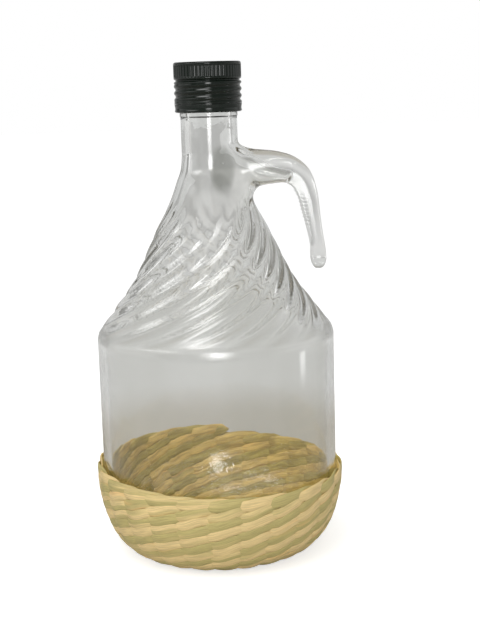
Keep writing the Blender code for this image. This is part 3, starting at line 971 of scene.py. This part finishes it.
cap = {
    "columns": 216,
    "wall": 0.0004,
    "edge": 0.0009,
    "knurlStart": 0.0014,
    "knurlHeight": 0.0055,
    "knurlRunout": 0.0005,
    "waistWidth": 0.0018,
    "waistDepth": 0.0009,
    "waistStart": 0.0006,
    "threadPitch": 0.003175,
    "threadDepth": 0.00072,
    "threadSharpness": 1.3,
    "threadTop": 0.0009,
    "threadEnd": (0.00036, 0.00156),
    "row": 0.00028,
    "topShares": (0.12, 0.3, 0.5, 0.68, 0.82, 0.9),
    "ceilingShares": (0.92, 0.6, 0.3, 0.1),
    "flatShare": 0.98,
}
knurlWaves = {
    "Count": 54,
    "Depth": 0.0005,
    "Sharpness": 1.25,
    "Start Angle": 0.0,
    "Unevenness": 0.0,
    "Unevenness Scale": 1.0,
    "Upright Stretch": 1.0,
}
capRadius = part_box("cap_shell")[1].x
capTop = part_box("cap_shell")[1].z
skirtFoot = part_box("cap_shell")[0].z
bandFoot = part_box("tamper_band")[0].z
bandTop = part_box("tamper_band")[1].z
knurlTop = capTop - cap["knurlStart"]
knurlFoot = knurlTop - cap["knurlHeight"]
waistTop = knurlFoot - cap["waistStart"]
waistFoot = waistTop - cap["waistWidth"]


# How far the rolled skirt goes in at this place: the waist, then the thread under it
def capDip(angle, height):
    dip = 0.0
    if waistFoot < height < waistTop:
        dip = cap["waistDepth"] * (1 - math.cos(math.tau * (height - waistFoot) / cap["waistWidth"])) / 2
    elif height < waistFoot:
        climbed = (height - skirtFoot) / cap["threadPitch"]
        groove = (1 - math.cos(math.tau * (climbed - angle / math.tau))) / 2
        start = easeShare(height, waistFoot, waistFoot - cap["threadTop"])
        end = easeShare(height - skirtFoot, *cap["threadEnd"])
        dip = cap["threadDepth"] * groove ** cap["threadSharpness"] * start * end
    return dip


def makeCap(material):
    mesh = bmesh.new()
    turnLayer, weightLayer, _ = waveLayers(mesh)
    edge, wall = cap["edge"], cap["wall"]
    inside, ceiling = capRadius - wall, capTop - wall
    rows = [(capRadius * share, capTop) for share in cap["topShares"]]
    rows += quarter(capRadius - edge, capTop - edge, edge, edge, evenSteps(0.0, 1.0, 1 / 6))
    sides = wallRows(capRadius, capTop - edge, skirtFoot, cap["row"])
    rows += sides
    rows += [(inside, height) for _, height in reversed(sides)]
    rows += [(inside * share, ceiling) for share in cap["ceilingShares"]]
    flat = capRadius * cap["flatShare"] - wall

    def radiusAt(angle, far, height):
        return far - (capDip(angle, height) if far > flat else 0.0)

    grid = turnedBody(mesh, rows, cap["columns"], (capTop, ceiling), radiusAt)
    run = cap["knurlRunout"] / 2
    for ring, (far, height) in zip(grid, rows):
        fade = easeShare(height, knurlTop + run, knurlTop - run)
        fade *= easeShare(height, knurlFoot - run, knurlFoot + run)
        for vertex in ring:
            vertex[turnLayer] = 0.0
            vertex[weightLayer] = fade if far > flat else 0.0
    carrier = pieceFrom("cap_carrier", mesh)
    piece = bakeNodes("cap_skin", carrier, waveNodes("capKnurls", knurlWaves), knurlWaves, material)
    rideAs(piece, "cap", "black_cap", "cap_shell")
    print("cap:", len(piece.data.polygons), "faces")


band = {
    "columns": 144,
    "row": 0.0004,
    "topInset": 0.00012,
    "topEdge": 0.00015,
    "firstRow": 0.0005,
    "rollDepth": 0.00028,
    "bendShare": 2.4,
    "bendTurns": (0.3, 0.6, 0.9, 1.2, math.pi / 2),
    "curlClear": 0.0006,
    "lipHeight": 0.00055,
    "lipClear": 0.0003,
}


# The band left under the cap, rolled in under the glass bead, with its edge curled
def makeBand(material):
    wall, inside = cap["wall"], capRadius - cap["wall"]
    curl, bend = bottle["collarRadius"] + band["curlClear"], wall * band["bendShare"]
    rows = [(capRadius - band["topInset"], bandTop), (capRadius, bandTop - band["topEdge"])]
    for height in evenSteps(bandTop - band["firstRow"], bandFoot + bend, band["row"]):
        roll = (1 - math.cos(math.tau * (height - bandFoot) / (bandTop - bandFoot))) / 2
        rows.append((capRadius - band["rollDepth"] * roll, height))
    shares = [1 - 2 * turn / math.pi for turn in band["bendTurns"]]
    rows += quarter(capRadius - bend, bandFoot + bend, bend, -bend, shares)
    rows += [(curl + wall * 0.5, bandFoot), (curl, bandFoot + wall * 0.3), (curl, bandFoot + wall * 0.8)]
    rows += [(curl + wall * 0.5, bandFoot + wall), (inside - wall * 1.2, bandFoot + wall)]
    rows += [(inside - wall * 0.4, bandFoot + wall * 1.6), (inside, bandFoot + wall * 2.6)]
    for clear, up in ((1, 0), (1, 1), (1 / 3, 1), (1 / 3, 0)):
        rows.append((inside - band["lipClear"] * clear, bandTop + band["lipHeight"] * up))
    mesh = bmesh.new()
    turnedBody(mesh, rows, band["columns"])
    piece = pieceFrom("band_skin", mesh, material, math.radians(50))
    rideAs(piece, "bottle", "black_cap", "tamper_band")


nibs = {"Nib Count": 12, "Nib Width": 0.0007, "Nib Thickness": 0.00032, "Nib Height": 0.00026}
nibSink = 0.00002


# The cut bridges between the band and the cap, in their narrow gap
def makeNibs(material):
    sizes = {**nibs, "Circle Radius": capRadius - cap["wall"] / 2, "Foot Height": bandTop - nibSink}
    sheet, given = newNodes("bridgeNibs", sizes)
    count, tall = given["Nib Count"], given["Nib Height"]
    ring = sheet.add("GeometryNodeMeshCircle", {"Vertices": count, "Radius": given["Circle Radius"]})
    size = sheet.joined(given["Nib Thickness"], given["Nib Width"], tall)
    block = sheet.add("GeometryNodeMeshCube", {"Size": size})
    turned = sheet.joined(z=sheet.add("GeometryNodeInputIndex") * math.tau / count)
    spots = {"Points": ring, "Instance": block, "Rotation": turned}
    copies = sheet.add("GeometryNodeInstanceOnPoints", spots)
    lift = sheet.joined(z=given["Foot Height"] + tall * 0.5)
    moved = sheet.add("GeometryNodeTransform", {"Geometry": copies, "Translation": lift})
    endNodes(sheet, moved, given)
    carrier = addObject("nib_carrier", bpy.data.meshes.new("nib_carrier"))
    piece = bakeNodes("band_bridges", carrier, sheet, sizes, material)
    rideAs(piece, "bottle", "black_cap")


liner = {
    "edge": 0.00035,
    "crown": 0.00008,
    "columns": 96,
    "footShares": (0.15, 0.4, 0.65, 0.85),
    "topShares": (0.8, 0.5, 0.2),
}


def makeLiner(material):
    low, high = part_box("cap_liner")
    edge, flat = liner["edge"], high.x - liner["edge"]
    rows = []
    for share in liner["footShares"]:
        rows.append((high.x * share, low.z + liner["crown"] * math.sin(math.pi * share)))
    rows += quarter(flat, low.z + edge, edge, -edge, evenSteps(0.0, 1.0, 1 / 4))
    rows += quarter(flat, high.z - edge, edge, edge, evenSteps(1.0, 0.0, 1 / 4))
    rows += [(high.x * share, high.z) for share in liner["topShares"]]
    mesh = bmesh.new()
    turnedBody(mesh, rows, liner["columns"], (low.z, high.z))
    piece = pieceFrom("liner_disc", mesh, material, math.radians(60))
    rideAs(piece, "liner", "liner", "cap_liner")


# Basket

basket = {
    "footRadius": 0.038,
    "sideRadius": 0.05835,
    "bottom": 0.0015,
    "heelTop": 0.0394,
    "rimHeight": 0.0394,
    "lineTop": 0.046,
    "bottomStep": 0.004,
    "heelSteps": 40,
    "sideStep": 0.0015,
}
strand = {
    "Turns": 18.0,
    "Steps Along": 3601,
    "Steps Around": 11,
    "Stakes": 25.0,
    "Row Pitch": 0.0046,
    "End Angle": math.radians(84),
    "Climb Start": 0.38,
    "Climb End": 0.8,
    "Swing": 0.00082,
    "Rise": 0.0018,
    "Half Width": 0.0029,
    "Half Narrow": 0.0024,
    "Half Thickness": 0.00055,
    "Half Thick": 0.0008,
    "Flatness": 0.72,
    "Unevenness": 0.5,
    "Wander": 1.3,
    "Rim Turn": 0.85,
    "Calm Turn": 1.105,
    "Rim Calm": 0.6,
    "Pattern Turns": 10.4,
    "Wander Pace": 11.0,
    "Uneven Pace": 21.0,
    "Tip Share": 0.0007,
    "End Share": 0.002,
    "Swing Start": -0.001,
    "Swing Full": 0.0004,
    "Weld": 0.000002,
    "Phase": 0.0,
}


# The line up the middle of the woven wall, from the middle of the bottom to above the rim
def profileCurve(name):
    foot, side, low, heel = (basket[size] for size in ("footRadius", "sideRadius", "bottom", "heelTop"))
    points = [(far, low) for far in evenSteps(0.0, foot, basket["bottomStep"])[:-1]]
    points += quarter(foot, heel, side - foot, low - heel, evenSteps(0.0, 1.0, 1 / basket["heelSteps"]))
    points += wallRows(side, heel, basket["lineTop"], basket["sideStep"])
    line = bpy.data.curves.new(name, "CURVE")
    line.dimensions = "3D"
    spline = line.splines.new("POLY")
    spline.points.add(len(points) - 1)
    for point, (far, height) in zip(spline.points, points):
        point.co = (far, 0.0, height, 1.0)
    carrier = addObject(name, line)
    length, rim = 0.0, 0.0
    for before, after in zip(points, points[1:]):
        length += math.hypot(after[0] - before[0], after[1] - before[1])
        if after[1] <= basket["rimHeight"] + 1e-6:
            rim = length
    return carrier, rim


# A round outline's wave made fuller, so that the strand is flat with rounded edges
def flatten(sheet, wave, given):
    return wave.sum("SIGN") * (wave.sum("ABSOLUTE") ** given["Flatness"])


# One strand twined in and out round the stakes, from the bottom up to the end of the rim
def strandNodes(sizes):
    sheet, given = newNodes("twinedStrand", sizes)
    counts = {"Vertices X": given["Steps Along"], "Vertices Y": given["Steps Around"]}
    grid = sheet.add("GeometryNodeMeshGrid", {"Size X": 1.0, "Size Y": 1.0, **counts})
    gridX, gridY, _ = sheet.parts(sheet.add("GeometryNodeInputPosition"))
    along = gridX + 0.5
    around = (gridY + 0.5) * math.tau
    turns = along * given["Turns"]
    whole = turns.sum("FLOOR")
    climbed = 1 - (turns - whole)
    rise = sheet.smooth(climbed, given["Climb Start"], given["Climb End"])
    middle = given["Rim Length"] + given["Row Pitch"] * (rise - 0.5 - whole)
    angle = given["End Angle"] + turns * math.tau
    wander = {"W": turns * given["Wander Pace"] + given["Phase"], "Scale": 1.0, "Detail": 1.0}
    drift = sheet.add("ShaderNodeTexNoise", wander, noise_dimensions="1D")
    swing = turns * given["Stakes"] * math.pi + given["Phase"] + (drift - 0.5) * given["Wander"]
    outside = sheet.cosine(swing)
    shown = outside * outside
    noise = sheet.noise(sheet.joined(turns * given["Uneven Pace"], given["Phase"] * 7.0), 1.0, 1.0)
    uneven = 1 + (noise - 0.5) * given["Unevenness"]
    tip = sheet.smooth(along, 0.0, given["Tip Share"]) * sheet.smooth(along, 1.0, 1 - given["End Share"])
    halfWidth = (given["Half Narrow"] + (given["Half Width"] - given["Half Narrow"]) * shown) * uneven * tip
    halfThick = (given["Half Thick"] + (given["Half Thickness"] - given["Half Thick"]) * shown) * tip
    wide, thick = flatten(sheet, sheet.sine(around), given), flatten(sheet, sheet.cosine(around), given)
    calm = 1 - sheet.smooth(turns, given["Calm Turn"], given["Rim Turn"]) * given["Rim Calm"]
    length = middle + given["Rise"] * sheet.sine(swing) * calm + halfWidth * wide
    sample = sheet.tree.nodes.new("GeometryNodeSampleCurve")
    sample.mode = "LENGTH"
    sample.use_all_curves = True
    sheet.plug(sample.inputs["Curves"], given["Geometry"])
    sheet.plug(sample.inputs["Length"], length)
    base, tangent = (sheet.parts(Wire(sheet, sample.outputs[name])) for name in ("Position", "Tangent"))
    swung = given["Swing"] * sheet.smooth(along, given["Swing Start"], given["Swing Full"])
    out = swung * outside + halfThick * thick
    far, height = base[0] + out * tangent[2], base[2] - out * tangent[0]
    place = sheet.joined(far * sheet.cosine(angle), far * sheet.sine(angle), height)
    flat = sheet.joined(turns * given["Pattern Turns"], around)
    mark = {"Geometry": grid, "Name": "strandUV", "Value": flat}
    marked = sheet.add("GeometryNodeStoreNamedAttribute", mark, data_type="FLOAT2", domain="CORNER")
    shaped = sheet.add("GeometryNodeSetPosition", {"Geometry": marked, "Position": place})
    closed = sheet.add("GeometryNodeMergeByDistance", {"Geometry": shaped, "Distance": given["Weld"]})
    smooth = sheet.add("GeometryNodeSetShadeSmooth", {"Geometry": closed})
    endNodes(sheet, smooth, given)
    return sheet


stakes = {
    "Stakes": 25,
    "Stake Width": 0.0042,
    "Stake Thickness": 0.0007,
    "Foot Length": 0.003,
    "Rim Gap": 0.003,
    "Steps Along": 40,
}


# Flat stakes that fan out from the middle of the bottom and run up inside the weave
def stakeNodes(sizes):
    sheet, given = newNodes("flatStakes", sizes)
    ends = {"Curve": given["Geometry"], 4: given["Foot Length"], 5: given["Rim Length"] - given["Rim Gap"]}
    part = sheet.add("GeometryNodeTrimCurve", ends, mode="LENGTH")
    steps = {"Curve": part, "Count": given["Steps Along"]}
    even = sheet.add("GeometryNodeResampleCurve", steps, mode="COUNT")
    section = {"Width": given["Stake Width"], "Height": given["Stake Thickness"]}
    outline = sheet.add("GeometryNodeCurvePrimitiveQuadrilateral", section, mode="RECTANGLE")
    sweep = {"Curve": even, "Profile Curve": outline, "Fill Caps": True}
    solid = sheet.add("GeometryNodeCurveToMesh", sweep)
    spots = sheet.add("GeometryNodePoints", {"Count": given["Stakes"]})
    number = sheet.add("GeometryNodeInputIndex")
    turned = sheet.joined(z=given["End Angle"] + number * math.tau / given["Stakes"])
    places = {"Points": spots, "Instance": solid, "Rotation": turned}
    copies = sheet.add("GeometryNodeInstanceOnPoints", places)
    endNodes(sheet, copies, given)
    return sheet


def makeBasket(paleStraw, oliveStraw, stakeStraw):
    for name, phase, material, nodes in (
        ("pale_strand", 0.0, paleStraw, ("basket_wall",)),
        ("olive_strand", math.pi, oliveStraw, ("basket_top_row",)),
    ):
        carrier, rim = profileCurve(name + "_line")
        sizes = {**strand, "Phase": phase, "Rim Length": rim}
        piece = bakeNodes(name, carrier, strandNodes(sizes), sizes, material)
        rideAs(piece, "bottle", "straw", *nodes)
        print("strand:", name, len(piece.data.polygons), "faces")
    carrier, rim = profileCurve("stake_line")
    sizes = {**stakes, "Rim Length": rim, "End Angle": strand["End Angle"]}
    piece = bakeNodes("stakes", carrier, stakeNodes(sizes), sizes, stakeStraw)
    rideAs(piece, "bottle", "straw", "basket_base")


# Stage

stage = {
    "floorHalf": 6.0,
    "floorColour": (0.69, 0.69, 0.68),
    "paintedShadeColour": (0.52, 0.495, 0.445),  # painted shade and warm bounced light on the floor beside the basket, as seen through the glass
    "paintedShadeReach": (0.36, 0.24),
    "floorGlow": 0.6,
    # Glow of the floor as seen through the glass: painted light, set by distance and side
    "throughNear": 0.0,
    "throughMiddle": 0.16,
    "throughBehind": 0.04,
    "throughLeft": 0.24,
    "middleReach": (0.4, 0.8),
    "farReach": (1.3, 2.4),
    "leftReach": (-0.36, -0.5),
    "skyWhite": (1.0, 1.0, 1.0),
    "skyPale": (0.63, 0.635, 0.63),
    "skyDark": (0.36, 0.36, 0.345),
    "skySide": (1.25, 1.25, 1.25),
    "skyShade": (0.27, 0.27, 0.26),
    "shadeStart": (0.62, 0.7),
    "shadeEnd": (0.88, 0.8),
    "shadeRight": 0.45,
    "shadeTurn": (0.2, -0.2),
    "shadeUp": (0.3, 0.12),
    "darkUp": (0.35, 0.8),
    "sideStart": (0.72, 0.95),
    "sideUp": (0.4, 0.15),
    "skyFill": 0.58,
}


# The floor looks white to the camera but for the shadow, and as grey as the photograph's through the glass
def makeFloor():
    half = stage["floorHalf"]
    mesh = bmesh.new()
    corners = ((-half, -half), (half, -half), (half, half), (-half, half))
    mesh.faces.new([mesh.verts.new((x, y, 0.0)) for x, y in corners])
    dry = {"Roughness": 0.9, "Specular IOR Level": 0.1, "Emission Strength": 1.0}
    material, sheet, shader = newMaterial("floor", dry)
    camera, bent = seenRays(sheet)
    place = sheet.add("ShaderNodeTexCoord", out=3)
    away = sheet.add("ShaderNodeVectorMath", {0: place}, out=1, operation="LENGTH")
    # Painted shade: seen through the glass, the floor turns darker and warmer beside the basket
    near = sheet.smooth(away, *stage["paintedShadeReach"]) * bent
    colour = sheet.blend(near, stage["floorColour"], stage["paintedShadeColour"])
    # Painted light: seen through the glass the floor glows, brighter in a ring round the basket and far off
    # to the left, dimmer far off elsewhere
    middle = sheet.smooth(away, *stage["middleReach"], stage["throughNear"], stage["throughMiddle"])
    aside = sheet.parts(place)[0] / away
    distant = sheet.smooth(aside, *stage["leftReach"], stage["throughBehind"], stage["throughLeft"])
    through = middle + sheet.smooth(away, *stage["farReach"]) * (distant - stage["throughMiddle"])
    glow = sheet.grey(camera * stage["floorGlow"] + bent * through)
    sheet.fill(shader, {"Base Color": colour, "Emission Color": glow})
    floor = pieceFrom("floor", mesh, material)


# White to the camera, and pale, dark and bright by direction to what glass and gloss show of it
def makeSky():
    world = bpy.data.worlds.new("studio")
    bpy.context.scene.world = world
    world.use_nodes = True
    sheet = Sheet(world.node_tree)
    world.node_tree.nodes.clear()
    side, _, up = sheet.parts(sheet.add("ShaderNodeTexCoord", out=0))
    sideways = side.sum("ABSOLUTE")
    above = sheet.blend(sheet.smooth(up, *stage["darkUp"]), stage["skyPale"], stage["skyDark"])
    level = sheet.smooth(sideways, *stage["sideStart"]) * sheet.smooth(up, *stage["sideUp"])
    lit = sheet.blend(level, above, stage["skySide"])
    shaded = sheet.smooth(sideways, *stage["shadeStart"]) * sheet.smooth(sideways, *stage["shadeEnd"])
    oneSided = sheet.smooth(side, *stage["shadeTurn"], stage["shadeRight"], 1.0)
    colour = sheet.blend(shaded * oneSided * sheet.smooth(up, *stage["shadeUp"]), lit, stage["skyShade"])
    camera, bent = seenRays(sheet)
    shown = sheet.blend(camera, colour, stage["skyWhite"])
    seenSky = sheet.add("ShaderNodeBackground", {"Color": shown, "Strength": 1.0})
    fillSky = sheet.add("ShaderNodeBackground", {"Color": (1, 1, 1, 1), "Strength": stage["skyFill"]})
    mixed = sheet.add("ShaderNodeMixShader", {0: camera + bent, 1: fillSky, 2: seenSky})
    sheet.end("ShaderNodeOutputWorld", mixed)


# Rays straight from the camera, and those that glass and gloss send on to the same background
def seenRays(sheet):
    camera, gloss, glass = sheet.rays("Is Camera Ray", "Is Glossy Ray", "Is Transmission Ray")
    return camera, gloss.sum("MAXIMUM", glass)


lamps = {
    "window": {"place": (0.02, -0.95, 0.32), "width": 0.45, "height": 0.5, "radiance": 6.0, "aim": 0.12},
    "strip": {"place": (-0.8, -0.45, 0.55), "width": 1.1, "height": 0.3, "radiance": 2.1, "aim": 0.2},
    "ceiling": {"place": (-0.25, -0.42, 1.25), "width": 0.95, "height": 0.6, "radiance": 4.1, "aim": 0.12},
    "side": {"place": (0.26, -0.04, 0.06), "width": 0.05, "height": 0.06, "radiance": 2.4, "aim": 0.07},
}
lampEdge = 0.4
lampShine = 2.0
sun = {"turn": (math.radians(42), 0.0, math.radians(-25)), "energy": 0.25, "spread": math.radians(40)}


# The lamp fades out towards its edges, so that its reflection has no hard outline
def softenEdge(light):
    light.use_nodes = True
    sheet = Sheet(light.node_tree)
    sheet.tree.nodes.clear()
    fade = 1.0
    for side in sheet.parts(sheet.add("ShaderNodeNewGeometry", out=5))[:2]:
        fade = sheet.smooth(side, 0.0, lampEdge) * sheet.smooth(side, 1.0, 1 - lampEdge) * fade
    shine = sheet.add("ShaderNodeEmission", {"Color": sheet.grey(fade), "Strength": lampShine})
    sheet.end("ShaderNodeOutputLight", shine)


def makeLamps():
    for name, facts in lamps.items():
        light = bpy.data.lights.new(name, "AREA")
        light.shape = "RECTANGLE"
        light.size, light.size_y = facts["width"], facts["height"]
        light.energy = facts["radiance"] * math.pi * facts["width"] * facts["height"]
        softenEdge(light)
        lamp = addObject(name, light)
        lamp.visible_camera = False
        lamp.visible_transmission = name != "side"
        lamp.location = facts["place"]
        away = Vector((0.0, 0.0, facts["aim"])) - lamp.location
        lamp.rotation_euler = away.to_track_quat("-Z", "Y").to_euler()
    light = bpy.data.lights.new("softSun", "SUN")
    light.energy = sun["energy"]
    light.angle = sun["spread"]
    lamp = addObject("softSun", light)
    lamp.rotation_euler = sun["turn"]


view = {
    "focal": 71.7,
    "distance": 0.604,
    "height": 0.2227,
    "pitch": math.radians(10.5),
    "yaw": math.radians(1.12),
    "roll": math.radians(1.7),
}


def makeCamera():
    lens = bpy.data.cameras.new("camera")
    lens.lens = view["focal"]
    camera = addObject("camera", lens)
    pitch, yaw, roll = view["pitch"], view["yaw"], view["roll"]
    forward = Vector((math.sin(yaw) * math.cos(pitch), math.cos(yaw) * math.cos(pitch), -math.sin(pitch)))
    right = forward.cross(Vector((0, 0, 1))).normalized()
    up = right.cross(forward)
    leanedUp = up * math.cos(roll) + right * math.sin(roll)
    leanedRight = right * math.cos(roll) - up * math.sin(roll)
    turned = Matrix((leanedRight, leanedUp, -forward)).transposed()
    camera.matrix_world = Matrix.Translation((0.0, -view["distance"], view["height"])) @ turned.to_4x4()
    bpy.context.scene.camera = camera


bpy.context.scene.view_settings.view_transform = "Standard"
makeFloor()
makeSky()
makeLamps()
makeCamera()
print("stage, lamps and camera made")
lacquer = blackLacquer()
makeBottle(clearGlass())
makeCap(lacquer)
makeBand(lacquer)
makeNibs(lacquer)
makeLiner(linerFoam())
paleTone, oliveTone = strawFinish["pale"], strawFinish["olive"]
makeBasket(
    strawMaterial("pale_straw", paleTone, oliveTone),
    strawMaterial("olive_straw", oliveTone, paleTone),
    strawMaterial("stake_straw", oliveTone, paleTone),
)
print("pieces made")
